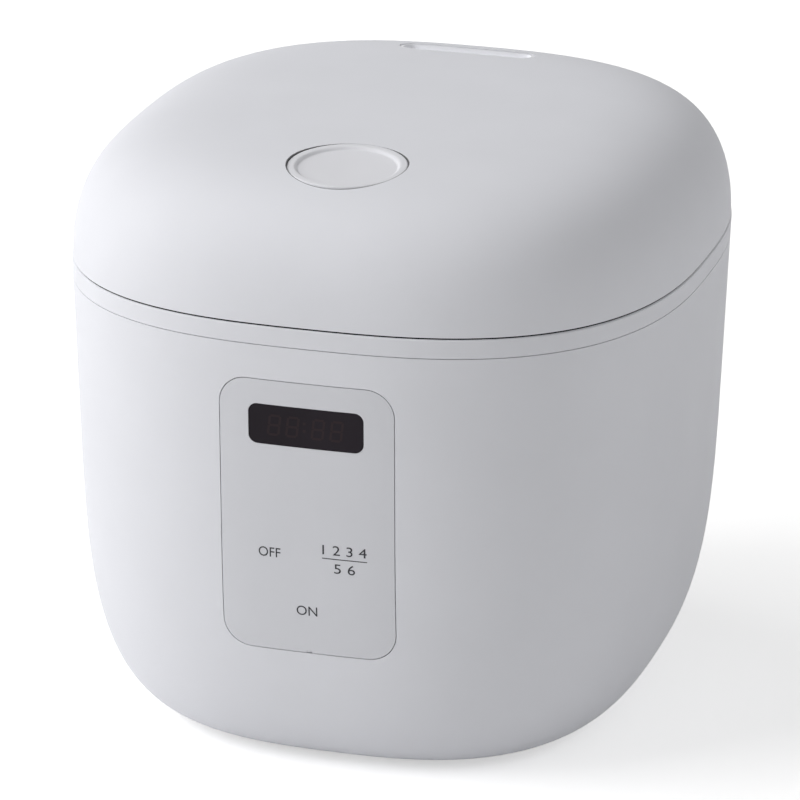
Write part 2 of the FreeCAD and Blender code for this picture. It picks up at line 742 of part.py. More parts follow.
def lid_base():
    low = LID_BASE_Z
    edge = HALF_WIDTH - LID_WALL - SLACK
    plate = swept(loop((0, low), (edge, low), (edge, low + 2.2), (0, low + 2.2)))
    plate = plate.cut(rod(89, V(0, 0, 170), V(0, 0, 180)))
    plate = plate.cut(box(-HINGE_HALF - 0.5, HINGE_HALF + 0.5, HINGE_Y - 10.6, 130, 160, 190))
    pocket = turned(loop((89, low), (91, low), (91, low + 12, 2.5), (0, low + 12), (0, low + 9.8),
                         (89, low + 9.8, 1.0)))
    post = rod(5.0, V(0, 0, 169), V(0, 0, low + 10))
    back = HINGE_Y - 10.6
    roof = HINGE_Z + 12
    walls = [box(-HINGE_HALF - 2, HINGE_HALF + 2, back - 1.8, back, low, roof + 1.8),
             box(-HINGE_HALF - 2, HINGE_HALF + 2, back - 1.8, 125, roof, roof + 1.8),
             box(-HINGE_HALF - 2, -HINGE_HALF - 0.5, back, 125, low, roof + 1.8),
             box(HINGE_HALF + 0.5, HINGE_HALF + 2, back, 125, low, roof + 1.8)]
    inside = lid_block(LID_WALL + 0.2)
    pieces = [plate, pocket, post] + [wall.common(inside) for wall in walls]
    for side in (-1, 1):
        ends = sorted((side * ARM_INNER, side * ARM_OUTER))
        pieces.append(box(ends[0], ends[1], back - 1.0, HINGE_Y, low, low + 7))
        pieces.append(rod(KNUCKLE, V(ends[0], HINGE_Y, HINGE_Z), V(ends[1], HINGE_Y, HINGE_Z)))
        ear = sorted((side * (LATCH_HALF + 5), side * (LATCH_HALF + 8)))
        pieces.append(box(ear[0], ear[1], LATCH_Y - 5, LATCH_Y + 5, low + 1, LATCH_Z))
        pieces.append(rod(5, V(ear[0], LATCH_Y, LATCH_Z), V(ear[1], LATCH_Y, LATCH_Z)))
    for x, y in LID_SCREW_SPOTS:
        pieces.append(rod(3.6, V(x, y, low), V(x, y, 177.9)))
    base = joined(pieces)
    tools = [rod(HINGE_PIN + 0.06, V(-44, HINGE_Y, HINGE_Z), V(44, HINGE_Y, HINGE_Z))]
    tools.append(rod(LATCH_PIN, V(-20, LATCH_Y, LATCH_Z), V(20, LATCH_Y, LATCH_Z)))
    tools.append(box(-8, 8, LATCH_Y - 12, LATCH_Y + 3, 165, low + 3))
    tools.append(stadium(VENT_HALF_LENGTH - 4, 3.2, 180, 190))
    tools += [rod(1.3, V(x, y, 170), V(x, y, 180)) for x, y in LID_SCREW_SPOTS]
    tools += [rod(2.6, V(x, y, 170), V(x, y, low + 1.6)) for x, y in LID_SCREW_SPOTS]
    return base.cut(tools)


def lid_screws():
    low = LID_BASE_Z
    return group([screw(2.2, 1.2, 9.0, V(x, y, low + 1.6), V(0, 0, 1)) for x, y in LID_SCREW_SPOTS])


def hinge_pin():
    return rod(HINGE_PIN, V(-44, HINGE_Y, HINGE_Z), V(44, HINGE_Y, HINGE_Z))


def inner_lid():
    disc = turned(loop((6.0, 171.0), (30, 171.0, 4), (34, 172.2, 4), (66, 172.2, 4), (70, 170.4, 4),
                       (80, 170.4), (80, 171.2), (70.4, 171.2, 4), (66.4, 173.0, 4), (33.6, 173.0, 4),
                       (29.6, 171.8, 4), (6.0, 171.8)))
    holes = []
    for i in range(7):
        a = math.pi / 2 + (i - 3) * 0.14
        x = 50 * math.cos(a)
        y = 50 * math.sin(a)
        holes.append(rod(1.6, V(x, y, 165), V(x, y, 180)))
    return disc.cut(holes)


def lid_gasket():
    lip = SEAT_Z + 1.9
    return turned(loop((77.5, 169.4, 0.5), (81.5, 169.4), (85.5, lip, 0.4), (88.0, lip, 0.5), (84.0, 172.0),
                       (84.0, 174.1, 0.6), (77.5, 174.1, 0.6), (77.5, 171.2),
                       (80, 171.2), (80, 170.4), (77.5, 170.4)))


def inner_lid_grommet():
    return turned(loop((5.0, 169.6), (8.5, 169.6, 0.6), (8.5, 171.0), (6.0, 171.0), (6.0, 171.8),
                       (8.0, 171.8), (8.0, 173.4, 0.6), (5.0, 173.4)))


def steam_duct():
    low = LID_BASE_Z + 12
    duct = stadium(VENT_HALF_LENGTH + 2.6, VENT_HALF_WIDTH + 2.6, low, 206.6)
    return duct.cut(stadium(VENT_HALF_LENGTH, VENT_HALF_WIDTH, low - 1, 210))


def steam_vent_cap():
    lowered = lid_block()
    lowered.translate(V(0, 0, -0.25))
    cup = stadium(VENT_HALF_LENGTH - SLACK, VENT_HALF_WIDTH - SLACK, 200, 225).common(lowered)
    hollow = stadium(VENT_HALF_LENGTH - 1.5, VENT_HALF_WIDTH - 1.5, VENT_FLOOR, 226)
    under = stadium(VENT_HALF_LENGTH - 1.5, VENT_HALF_WIDTH - 1.5, 199, VENT_FLOOR - VENT_FLOOR_THICK)
    slots = [box(x - 4.5, x + 4.5, VENT_Y - 3.2, VENT_Y - 1.0, 205, 218) for x in (-13, 0, 13)]
    return cup.cut([hollow, under] + slots)


def lid_button():
    r = BUTTON_RADIUS
    cap = turned(loop((0, -3.4), (r - 1.8, -3.4, 1.0), (r - 1.8, -8.4), (r + 1.5, -8.4), (r + 1.5, -7.2),
                      (r, -7.2), (r, 0, 0.55), (r - 2.9, 0, 1.4), (r - 3.7, -1.1, 0.9), (0, -1.6)))
    stem = rod(4.0, V(0, 0, -3.0), V(0, 0, -16.2)).fuse(Part.makeSphere(4.0, V(0, 0, -16.2)))
    return on_button(joined([cap, stem]))


def button_bracket():
    low = LID_BASE_Z + 12
    plate = box(-17, 17, -88, -60, 199, 201)
    legs = [box(x - 1.2, x + 1.2, -84, -62, low, 199) for x in (-15.8, 15.8)]
    hole = on_button(rod(4.6, V(0, 0, -25), V(0, 0, 0)))
    return joined([plate] + legs).cut(hole)


def button_spring():
    return on_button(coil(6.6, 0.5, -15.4, -3.7, 4))


def latch_lever():
    half = LATCH_HALF
    hub = rod(4.5, V(-half, LATCH_Y, LATCH_Z), V(half, LATCH_Y, LATCH_Z))
    shank = box(-half, half, LATCH_Y - 4.5, LATCH_Y - 2.2, 166, LATCH_Z)
    nose_points = [V(-half, LATCH_Y - 2.4, 169.4), V(-half, LATCH_Y + 0.3, 169.4),
                   V(-half, LATCH_Y - 2.4, 166), V(-half, LATCH_Y - 2.4, 169.4)]
    nose = Part.Face(Part.makePolygon(nose_points)).extrude(V(2 * half, 0, 0))
    tip = BUTTON_PLACE.multVec(V(0, 0, -20.2))
    arm = box(-half, half, LATCH_Y, tip.y + 5, LATCH_Z + 0.5, LATCH_Z + 3.5)
    pad = box(-half, half, tip.y - 5, tip.y + 5, LATCH_Z + 0.5, tip.z - 0.3)
    bore = rod(LATCH_PIN + 0.05, V(-20, LATCH_Y, LATCH_Z), V(20, LATCH_Y, LATCH_Z))
    return joined([hub, shank, nose, arm, pad]).cut(bore)


def latch_pin():
    reach = LATCH_HALF + 8
    return rod(LATCH_PIN, V(-reach, LATCH_Y, LATCH_Z), V(reach, LATCH_Y, LATCH_Z))


def latch_spring():
    spring = coil(2.9, 0.4, 0, 4.2, 3)
    spot = V(LATCH_HALF + 0.4, LATCH_Y, LATCH_Z)
    spring.Placement = FreeCAD.Placement(spot, FreeCAD.Rotation(V(0, 1, 0), 90))
    return spring


NODES = [outer_casing, upper_frame, base_plate, base_screws, rubber_feet, control_panel, display_window,
         power_inlet, inlet_pins, pot_liner, liner_screws, inner_pot, heater_plate, heater_element,
         heater_screws, sensor_cap, thermistor, sensor_guide, sensor_spring, thermal_fuse, control_board,
         control_board_screws, led_display, key_switches, key_frame, power_board, power_board_screws,
         relay, transformer, capacitor, mains_leads, heater_leads, ribbon_cable, lid_cover, lid_base,
         lid_screws, hinge_pin, inner_lid, lid_gasket, inner_lid_grommet, steam_duct, steam_vent_cap,
         lid_button, button_bracket, button_spring, latch_lever, latch_pin, latch_spring]


def save(name, shape):
    shape.exportStep("parts/" + name + ".step")
    print(name, shape.isValid(), len(shape.Solids), round(shape.Volume))


os.makedirs("parts", exist_ok=True)
for make in NODES:
    save(make.__name__, make())
for key_name in KEYS:
    save(key_name, key(key_name))
print("button lean", BUTTON_LEAN, "top", BUTTON_TOP)
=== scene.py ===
import json
import math
import bpy
from mathutils import Matrix, Vector

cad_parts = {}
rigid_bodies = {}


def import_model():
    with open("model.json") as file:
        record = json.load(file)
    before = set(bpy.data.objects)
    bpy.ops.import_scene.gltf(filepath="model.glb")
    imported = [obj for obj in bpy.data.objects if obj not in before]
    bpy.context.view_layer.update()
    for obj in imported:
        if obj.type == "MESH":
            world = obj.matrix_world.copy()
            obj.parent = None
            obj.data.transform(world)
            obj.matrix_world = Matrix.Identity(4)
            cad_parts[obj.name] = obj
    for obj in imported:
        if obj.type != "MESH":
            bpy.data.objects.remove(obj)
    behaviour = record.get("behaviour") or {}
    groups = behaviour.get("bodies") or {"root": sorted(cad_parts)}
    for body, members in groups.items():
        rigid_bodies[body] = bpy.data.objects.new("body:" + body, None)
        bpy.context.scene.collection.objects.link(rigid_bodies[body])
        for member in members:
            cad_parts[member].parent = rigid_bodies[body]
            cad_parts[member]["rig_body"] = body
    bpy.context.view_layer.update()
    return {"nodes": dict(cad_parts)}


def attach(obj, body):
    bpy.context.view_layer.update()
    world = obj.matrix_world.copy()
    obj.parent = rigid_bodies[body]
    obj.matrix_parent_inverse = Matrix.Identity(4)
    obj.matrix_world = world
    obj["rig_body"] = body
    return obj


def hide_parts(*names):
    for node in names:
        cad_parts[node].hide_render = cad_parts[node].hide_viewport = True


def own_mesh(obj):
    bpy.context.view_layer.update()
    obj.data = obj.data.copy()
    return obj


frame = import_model()
nodes = frame["nodes"]

# Shape of body and lid, in metres, the same formulas as the solids
HALF_WIDTH = 0.112
HALF_DEPTH = 0.1227
PLAN_POWER = 2.72
SEAM_Z = 0.173
LID_RISE = 0.04507
LID_SIDE_POWER = 6.83
LID_TOP_POWER = 2.214
BODY_EDGE = 0.1123
BODY_TAPER = 0.0055
BODY_ROUND_HEIGHT = 0.1301
BODY_ROUND_DEPTH = 0.03965
BODY_SIDE_POWER = 4.323
BODY_FOOT_POWER = 2.274

# A corner takes the formula's normal if it is this near to the formula and its face points the same way
NEAR_FORMULA = 0.0012
SAME_WAY = 0.93

# Unlit digits in the display window; gap and inset are shares of the stroke, colon levels of the height
WINDOW_LOW = 0.1294
WINDOW_HIGH = 0.1439
DIGIT_HEIGHT = 0.0078
DIGIT_WIDTH = 0.0046
DIGIT_STROKE = 0.00085
DIGIT_LEAN = 0.12
DIGIT_GAP = 0.18
DIGIT_INSET = 0.6
DIGIT_PLACES = (-0.0140, -0.0074, 0.0018, 0.0084)
DIGIT_LIFT = 0.00003
COLON_LEFT = -0.0009
COLON_SIZE = 0.001
COLON_LEVELS = (0.3, 0.65)

# Printed marks on the panel
LEFT_KEY = (-0.0135, 0.0892)
RIGHT_KEY = (0.0136, 0.0890)
START_KEY = (-0.0003, 0.0683)
MARK_HEIGHT = 0.0036
MARK_LIFT = 0.00004
OFF_WIDTH = 0.0080
ON_WIDTH = 0.0075
UPPER_NUMBERS_WIDTH = 0.0158
LOWER_NUMBERS_WIDTH = 0.0075
NUMBERS_FROM_RULE = 0.0034
RULE_WIDTH = 0.0161
RULE_HEIGHT = 0.00032
RULE_STEPS = 8

# Small nub at the lower edge of the panel
NUB_Z = 0.0521
NUB_RADIUS = 0.00078
NUB_LIFT = 0.00003
NUB_STEPS = 8

# Painted shade: a dark strip on the deck, in the gap under the lid, standing in for the shade in the
# seam
SEAM_SHADE_WIDTH = 0.1116
SEAM_SHADE_THICK = 0.0012
SEAM_SHADE_LOW = 0.1722
SEAM_SHADE_TOP = 0.17284
SEAM_SHADE_END = (0.0705, 0.108)
SEAM_SHADE_STEPS = 180

# Lid button: middle of its rim, and its axis, which leans with the lid
BUTTON_CENTRE = Vector((0, -0.0737, 0.21683))
BUTTON_SLANT = 0.069956
BUTTON_UPRIGHT = 0.99755
BUTTON_AXIS = Vector((0, -BUTTON_SLANT, BUTTON_UPRIGHT))
BUTTON_BACKWARD = Vector((0, BUTTON_UPRIGHT, BUTTON_SLANT))

# Painted shade: a dark ring in the gap round the lid button, standing in for the gap's shade; the lid's
# face is looked for between two heights on the axis
RING_INSIDE = 0.02113
RING_OUTSIDE = 0.02145
RING_SINK = 0.00005
RING_DEPTH = 0.001
RING_STEPS = 120
FACE_SEARCH = (-0.006, 0.003)
FACE_SEARCH_STEPS = 30

# Level lines and numbers inside the pot
POT_RADIUS = 0.081
POT_LEVELS = 4
POT_FIRST_LEVEL = 0.094
POT_LEVEL_STEP = 0.014
POT_LINE = 0.0005
POT_LINE_LENGTH = 0.022
POT_LINE_SUNK = -0.00005
POT_LINE_PROUD = 0.0001
POT_LINE_STEPS = 24
POT_NUMBER = 0.0055
POT_NUMBER_LIFT = 0.00006

# Camera: angles in degrees, from the photo's perspective
CAMERA_AZIMUTH = 16.24
CAMERA_ELEVATION = 19.71
CAMERA_DISTANCE = 1.91467
CAMERA_AIM = Vector((0, 0, 0.1))
CAMERA_ROLL = 0.48
CAMERA_LENS = 235.87
CAMERA_FILM = 36
CAMERA_SHIFT = (-0.0063, 0.0188)
CAMERA_CLIP = (0.05, 30)

# Studio light: an even surround, and large soft boxes at one distance, by azimuth, elevation and power
WORLD_LEVEL = 0.163
LAMP_SIZE = 1.3
LAMP_DISTANCE = 1.9
LAMPS = (
    ("key_front", -57, 30, 22.9),
    ("key_top", -93, 60, 10.6),
    ("fill", 79, 28, 7.7),
)

# Floor: half its side, its grey, its own glow near the object, and where it turns white
FLOOR_REACH = 6.0
FLOOR_GREY = 0.9
FLOOR_ROUGH = 0.9
FLOOR_GLOW = 0.5
FLOOR_NEAR = 0.4
FLOOR_FAR = 1.8


# Shape formulas

def body_half_width(z):
    down = max(0.0, min(1.0, (BODY_ROUND_HEIGHT - z) / BODY_ROUND_HEIGHT))
    curl = 1 - (1 - down ** BODY_SIDE_POWER) ** (1 / BODY_FOOT_POWER)
    return BODY_EDGE - BODY_TAPER * (1 - z / SEAM_Z) - BODY_ROUND_DEPTH * curl


def plan_scale(x, y):
    return (abs(x / HALF_WIDTH) ** PLAN_POWER + abs(y / HALF_DEPTH) ** PLAN_POWER) ** (1 / PLAN_POWER)


def body_level(point):
    return plan_scale(point.x, point.y) - body_half_width(point.z) / HALF_WIDTH


def lid_level(point):
    rise = max(0.0, point.z - SEAM_Z) / LID_RISE
    return plan_scale(point.x, point.y) ** LID_SIDE_POWER + rise ** LID_TOP_POWER - 1


def slope(level, point, step=2e-5):
    ways = (Vector((step, 0, 0)), Vector((0, step, 0)), Vector((0, 0, step)))
    return Vector([(level(point + way) - level(point - way)) / (2 * step) for way in ways])


def on_front(x, z, lift):
    size = body_half_width(z)
    across = abs(x / size) ** PLAN_POWER
    y = -HALF_DEPTH * size / HALF_WIDTH * (1 - across) ** (1 / PLAN_POWER)
    point = Vector((x, y, z))
    return point + slope(body_level, point).normalized() * lift


def direction(azimuth, elevation):
    turn = math.radians(azimuth)
    rise = math.radians(elevation)
    return Vector((math.sin(turn) * math.cos(rise), -math.cos(turn) * math.cos(rise), math.sin(rise)))


# Material helpers

def new_material(name):
    material = bpy.data.materials.new(name)
    material.use_nodes = True
    return material, material.node_tree, material.node_tree.nodes["Principled BSDF"]


def noise(tree, scale, detail=2.0, stretch=None):
    place = tree.nodes.new("ShaderNodeTexCoord")
    texture = tree.nodes.new("ShaderNodeTexNoise")
    texture.inputs["Scale"].default_value = scale
    texture.inputs["Detail"].default_value = detail
    source = place.outputs["Object"]
    if stretch:
        mapping = tree.nodes.new("ShaderNodeMapping")
        mapping.inputs["Scale"].default_value = stretch
        tree.links.new(source, mapping.inputs["Vector"])
        source = mapping.outputs["Vector"]
    tree.links.new(source, texture.inputs["Vector"])
    return texture.outputs["Fac"]


def ramp(tree, source, low, high, start=0.3, end=0.7):
    node = tree.nodes.new("ShaderNodeValToRGB")
    node.color_ramp.elements[0].position = start
    node.color_ramp.elements[1].position = end
    node.color_ramp.elements[0].color = (*low, 1)
    node.color_ramp.elements[1].color = (*high, 1)
    tree.links.new(source, node.inputs["Fac"])
    return node.outputs["Color"]


def spread(tree, source, low, high):
    node = tree.nodes.new("ShaderNodeMapRange")
    node.inputs["To Min"].default_value = low
    node.inputs["To Max"].default_value = high
    tree.links.new(source, node.inputs["Value"])
    return node.outputs["Result"]


def bump(tree, shader, source, strength, distance):
    node = tree.nodes.new("ShaderNodeBump")
    node.inputs["Strength"].default_value = strength
    node.inputs["Distance"].default_value = distance
    tree.links.new(source, node.inputs["Height"])
    tree.links.new(node.outputs["Normal"], shader.inputs["Normal"])


def tint(colour, factor):
    return tuple(min(1.0, channel * factor) for channel in colour)


def shade(tree, shader, source, colour, tone):
    mottled = ramp(tree, source, tint(colour, 1 - tone), tint(colour, 1 + tone))
    tree.links.new(mottled, shader.inputs["Base Color"])


def roughen(tree, shader, source, low, high):
    tree.links.new(spread(tree, source, low, high), shader.inputs["Roughness"])


# Kinds of material

def moulded(name, colour, rough, grain=2600, depth=0.00003, tone=0.012, gloss=0.22):
    material, tree, shader = new_material(name)
    shader.inputs["Specular IOR Level"].default_value = gloss
    shade(tree, shader, noise(tree, scale=22, detail=3), colour, tone)
    roughen(tree, shader, noise(tree, scale=90, detail=4), rough - 0.04, rough + 0.04)
    bump(tree, shader, noise(tree, grain), strength=0.12, distance=depth)
    return material


def brushed(name, colour, rough, stretch, tone=0.08):
    material, tree, shader = new_material(name)
    shader.inputs["Metallic"].default_value = 1.0
    streak = noise(tree, scale=60, detail=4, stretch=stretch)
    shade(tree, shader, streak, colour, tone)
    roughen(tree, shader, streak, rough - 0.06, rough + 0.08)
    bump(tree, shader, streak, strength=0.08, distance=0.00002)
    return material


def coated(name, colour, rough, fleck):
    material, tree, shader = new_material(name)
    shader.inputs["Metallic"].default_value = 0.35
    dots = noise(tree, scale=1900, detail=1)
    tree.links.new(ramp(tree, dots, colour, fleck, start=0.62, end=0.72), shader.inputs["Base Color"])
    roughen(tree, shader, noise(tree, scale=140, detail=3), rough - 0.05, rough + 0.07)
    bump(tree, shader, dots, strength=0.1, distance=0.00003)
    return material


def silicone(name, colour):
    material, tree, shader = new_material(name)
    shader.inputs["Subsurface Weight"].default_value = 0.25
    shader.inputs["Subsurface Radius"].default_value = (0.004, 0.004, 0.004)
    shade(tree, shader, noise(tree, scale=60, detail=3), colour, tone=0.04)
    roughen(tree, shader, noise(tree, scale=400, detail=3), 0.42, 0.56)
    bump(tree, shader, noise(tree, scale=1500), strength=0.1, distance=0.00003)
    return material


def board(name, colour, trace):
    material, tree, shader = new_material(name)
    lines = noise(tree, scale=240, detail=1, stretch=(1.0, 1.0, 3.0))
    tree.links.new(ramp(tree, lines, colour, trace, start=0.46, end=0.54), shader.inputs["Base Color"])
    roughen(tree, shader, lines, 0.32, 0.45)
    bump(tree, shader, lines, strength=0.3, distance=0.00003)
    return material


# Materials

def white_plastic(name, colour, rough, grain=2600, depth=0.00003):
    return moulded(name, colour, rough, grain, depth, gloss=0.03)


def dark_glass(name, colour, rough, tone):
    return moulded(name, colour, rough, grain=900, depth=0.000005, tone=tone, gloss=0.1)


def ink(name, colour, tone):
    return moulded(name, colour, 0.5, grain=4000, depth=0.00001, tone=tone)


# Rough dark moulding for the rubber feet, and for the pieces of painted shade in the gaps
def rubber_and_gap_shade(name, colour, rough, gloss=0.22):
    return moulded(name, colour, rough, grain=1200, depth=0.00006, tone=0.15, gloss=gloss)


WHITE = (0.796, 0.802, 0.841)
shell_white = white_plastic("shell_white", WHITE, 0.5)
panel_white = white_plastic("panel_white", tint(WHITE, 0.91), 0.46, grain=3400, depth=0.00002)
button_white = white_plastic("button_white", (0.79, 0.792, 0.825), 0.48)
inner_white = moulded("inner_white", (0.78, 0.785, 0.805), 0.5, grain=1800, depth=0.00004)
smoked = dark_glass("smoked_window", (0.016, 0.012, 0.0165), 0.34, tone=0.2)
segment_dark = dark_glass("unlit_segment", (0.026, 0.017, 0.02), 0.36, tone=0.1)
mark_ink = ink("mark_ink", (0.045, 0.045, 0.052), tone=0.1)
pot_ink = ink("pot_ink", (0.5, 0.5, 0.51), tone=0.05)
dark_plastic = moulded("dark_plastic", (0.03, 0.03, 0.033), 0.5, grain=1800, depth=0.00004, tone=0.15)
key_grey = moulded("key_grey", (0.45, 0.45, 0.47), 0.5)
black_rubber = rubber_and_gap_shade("black_rubber", (0.04, 0.04, 0.042), 0.75)
# Painted shade: near-black material for the strip in the seam under the lid
seam_shade_black = rubber_and_gap_shade("painted_seam_shade", (0.01, 0.01, 0.011), 0.8, gloss=0.05)
# Painted shade: grey material for the ring in the gap round the lid button
button_shade_grey = rubber_and_gap_shade("painted_button_shade", (0.18, 0.18, 0.185), 0.75, gloss=0.05)
vent_white = moulded("vent_white", (0.885, 0.89, 0.92), 0.42, grain=1800, gloss=0.1)
steel = brushed("plain_steel", (0.56, 0.56, 0.57), 0.3, stretch=(1, 1, 12))
galvanised = brushed("galvanised", (0.5, 0.51, 0.52), 0.4, stretch=(3, 3, 1), tone=0.16)
plated = brushed("plated_pin", (0.72, 0.58, 0.3), 0.25, stretch=(1, 8, 1))
cast = brushed("cast_aluminium", (0.6, 0.6, 0.61), 0.48, stretch=(2, 2, 2), tone=0.12)
sheath = brushed("element_sheath", (0.3, 0.28, 0.27), 0.5, stretch=(2, 2, 2), tone=0.2)
lid_metal = brushed("inner_lid_metal", (0.68, 0.68, 0.69), 0.3, stretch=(1, 14, 1), tone=0.05)
pot_coat = coated("pot_coat", (0.035, 0.035, 0.038), 0.38, fleck=(0.16, 0.16, 0.17))
gasket_grey = silicone("gasket_silicone", (0.55, 0.55, 0.545))
green_board = board("circuit_board", (0.02, 0.13, 0.06), trace=(0.05, 0.25, 0.11))
core_brown = moulded("varnished_core", (0.22, 0.15, 0.05), 0.4, grain=500, depth=0.0001, tone=0.25)
bead = moulded("epoxy_bead", (0.18, 0.1, 0.05), 0.25, grain=900, tone=0.2)
lead_red = moulded("red_lead", (0.38, 0.03, 0.025), 0.5)
lead_white = moulded("white_lead", (0.6, 0.6, 0.59), 0.5)

FINISHES = {
    shell_white: ["outer_casing", "upper_frame", "lid_cover"],
    panel_white: ["control_panel"],
    button_white: ["lid_button"],
    inner_white: ["lid_base", "base_plate", "steam_duct", "key_frame", "button_bracket", "latch_lever"],
    vent_white: ["steam_vent_cap"],
    smoked: ["display_window"],
    dark_plastic: ["power_inlet", "led_display", "relay", "key_switches", "capacitor"],
    key_grey: ["key_left", "key_right", "key_start"],
    steel: ["base_screws", "liner_screws", "heater_screws", "control_board_screws", "power_board_screws",
            "lid_screws", "hinge_pin", "latch_pin", "sensor_spring", "button_spring", "latch_spring",
            "sensor_guide", "thermal_fuse"],
    galvanised: ["pot_liner"],
    plated: ["inlet_pins"],
    pot_coat: ["inner_pot"],
    cast: ["heater_plate", "sensor_cap"],
    sheath: ["heater_element"],
    lid_metal: ["inner_lid"],
    gasket_grey: ["lid_gasket", "inner_lid_grommet"],
    black_rubber: ["rubber_feet"],
    green_board: ["control_board", "power_board"],
    core_brown: ["transformer"],
    bead: ["thermistor"],
    lead_red: ["mains_leads"],
    lead_white: ["heater_leads", "ribbon_cable"],
}


def paint(obj, material):
    obj.data.materials.clear()
    obj.data.materials.append(material)


for finish, names in FINISHES.items():
    for name in names:
        paint(nodes[name], finish)


# Making of pieces

def linked(name, data):
    obj = bpy.data.objects.new(name, data)
    bpy.context.collection.objects.link(obj)
    return obj


def copy_of(node, name):
    piece = linked(name, nodes[node].data.copy())
    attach(piece, nodes[node]["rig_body"])
    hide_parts(node)
    return piece


def loose_piece(name, points, faces, material, body="base"):
    mesh = bpy.data.meshes.new(name)
    mesh.from_pydata(points, [], faces)
    mesh.update()
    piece = linked(name, mesh)
    paint(piece, material)
    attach(piece, body)


def front_piece(name, points, faces, lift, material):
    loose_piece(name, [on_front(x, z, lift) for x, z in points], faces, material)


def side_faces(count, steps):
    faces = []
    for i in range(steps):
        for k in range(count):
            corner = i * count + k
            beside = i * count + (k + 1) % count
            faces.append((corner, beside, beside + count, corner + count))
    return faces


def sweep_faces(count, steps):
    first = tuple(range(count - 1, -1, -1))
    last = tuple(range(steps * count, steps * count + count))
    return [first, last] + side_faces(count, steps)


def ring_faces(count, steps):
    return [tuple(corner % (count * steps) for corner in face) for face in side_faces(count, steps)]


# Smooth shells: the CAD shapes with the true normals of their formulas

def smooth_copy(node, name, level):
    mesh = copy_of(node, name).data
    normals = [corner.vector.copy() for corner in mesh.corner_normals]
    for face in mesh.polygons:
        face.use_smooth = True
        for corner in face.loop_indices:
            point = mesh.vertices[mesh.loops[corner].vertex_index].co
            if abs(level(point)) < NEAR_FORMULA:
                way = slope(level, point).normalized()
                if way.dot(face.normal) > SAME_WAY:
                    normals[corner] = way
    mesh.normals_split_custom_set(normals)


smooth_copy("outer_casing", "casing_shell", body_level)
smooth_copy("upper_frame", "frame_band", body_level)
smooth_copy("control_panel", "panel_plate", body_level)
smooth_copy("display_window", "window_pane", body_level)
smooth_copy("lid_cover", "lid_shell", lid_level)


# Springs, as copies with meshes of their own

def spring_copy(node, name):
    piece = copy_of(node, name)
    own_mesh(piece)


spring_copy("button_spring", "press_spring")
spring_copy("sensor_spring", "plunge_spring")


# Painted shade: a dark strip on the deck edge, standing in for the shade in the seam, from one side of
# the hinge block round the front to the other

def seam_shade_strip():
    inner = SEAM_SHADE_WIDTH - SEAM_SHADE_THICK
    rails = ((SEAM_SHADE_WIDTH, SEAM_SHADE_LOW), (SEAM_SHADE_WIDTH, SEAM_SHADE_TOP), (inner, SEAM_SHADE_TOP), (inner, SEAM_SHADE_LOW))
    start = math.atan2(SEAM_SHADE_END[1], SEAM_SHADE_END[0])
    sweep = math.pi + 2 * start
    points = []
    for i in range(SEAM_SHADE_STEPS + 1):
        turn = start - sweep * i / SEAM_SHADE_STEPS
        reach = 1 / plan_scale(math.cos(turn), math.sin(turn)) / HALF_WIDTH
        for wide, z in rails:
            points.append((reach * math.cos(turn) * wide, reach * math.sin(turn) * wide, z))
    loose_piece("seam_shade_strip", points, sweep_faces(len(rails), SEAM_SHADE_STEPS), seam_shade_black)


# Painted shade: a dark grey ring in the gap round the lid button, a little below the lid's face,
# standing in for the gap's shade

def under_lid(foot, way, depth):
    low, high = FACE_SEARCH
    for i in range(FACE_SEARCH_STEPS):
        middle = (low + high) / 2
        if lid_level(foot + way * middle) < 0:
            low = middle
        else:
            high = middle
    return foot + way * (low - depth)


def button_gap_shade():
    rails = ((RING_OUTSIDE, RING_DEPTH), (RING_OUTSIDE, RING_SINK), (RING_INSIDE, RING_SINK),
             (RING_INSIDE, RING_DEPTH))
    points = []
    for i in range(RING_STEPS):
        turn = -2 * math.pi * i / RING_STEPS
        out = Vector((math.cos(turn), 0, 0)) + BUTTON_BACKWARD * math.sin(turn)
        points += [under_lid(BUTTON_CENTRE + out * reach, BUTTON_AXIS, depth) for reach, depth in rails]
    loose_piece("button_gap_shade", points, ring_faces(len(rails), RING_STEPS), button_shade_grey, "lid")


# Lettering, as flat points in a plane

def letters(text, centre, height, width=None):
    curve = bpy.data.curves.new("letters", "FONT")
    curve.body = text
    curve.resolution_u = 4
    source = linked("letters_source", curve)
    bpy.context.view_layer.update()
    mesh = bpy.data.meshes.new_from_object(source)
    bpy.data.objects.remove(source)
    xs = [vertex.co.x for vertex in mesh.vertices]
    zs = [vertex.co.y for vertex in mesh.vertices]
    wide = max(xs) - min(xs)
    tall = max(zs) - min(zs)
    width = width or height * wide / tall
    points = []
    for vertex in mesh.vertices:
        x = centre[0] + ((vertex.co.x - min(xs)) / wide - 0.5) * width
        z = centre[1] + ((vertex.co.y - min(zs)) / tall - 0.5) * height
        points.append((x, z))
    return points, [tuple(face.vertices) for face in mesh.polygons]


# Level lines and numbers on the pot's inside, at the rear

def in_pot(x, z, lift):
    turn = x / POT_RADIUS
    reach = POT_RADIUS - lift
    return reach * math.sin(turn), reach * math.cos(turn), z


def pot_line(name, z, length):
    low = z - POT_LINE / 2
    high = z + POT_LINE / 2
    rails = ((POT_LINE_SUNK, low), (POT_LINE_SUNK, high), (POT_LINE_PROUD, high), (POT_LINE_PROUD, low))
    points = []
    for i in range(POT_LINE_STEPS + 1):
        x = (i / POT_LINE_STEPS - 0.5) * length
        points += [in_pot(x, level, lift) for lift, level in rails]
    loose_piece(name, points, sweep_faces(len(rails), POT_LINE_STEPS), pot_ink)


def pot_number(name, text, x, z):
    flat, faces = letters(text, (x, z), POT_NUMBER)
    points = [in_pot(px, pz, POT_NUMBER_LIFT) for px, pz in flat]
    loose_piece(name, points, faces, pot_ink)


